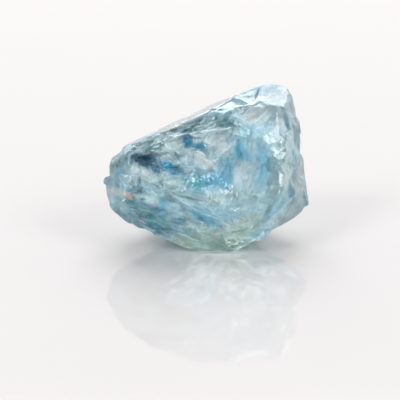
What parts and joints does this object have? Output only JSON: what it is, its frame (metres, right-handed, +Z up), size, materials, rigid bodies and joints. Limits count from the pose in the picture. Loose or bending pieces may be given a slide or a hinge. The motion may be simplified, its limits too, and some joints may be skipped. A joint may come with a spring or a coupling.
{
  "type": "rough diamond",
  "caption": "Lump of clear, pale blue rough crystal: flat and shell-shaped breaks, ledges and grooves all round, and a flat foot to lie on",
  "frame": {"origin": "middle of the bounding box's bottom, on the surface that the stone lies on", "axes": "+X along the stone's length, to the right as seen from in front; +Y to its back; +Z up"},
  "size_m": [0.025, 0.0158, 0.0181],
  "materials": {
    "crystal": "clear, pale blue, glossy on its breaks, with milky and deep blue patches"
  },
  "bodies": {
    "root": {"rough_diamond": "crystal"}
  },
  "joints": []
}
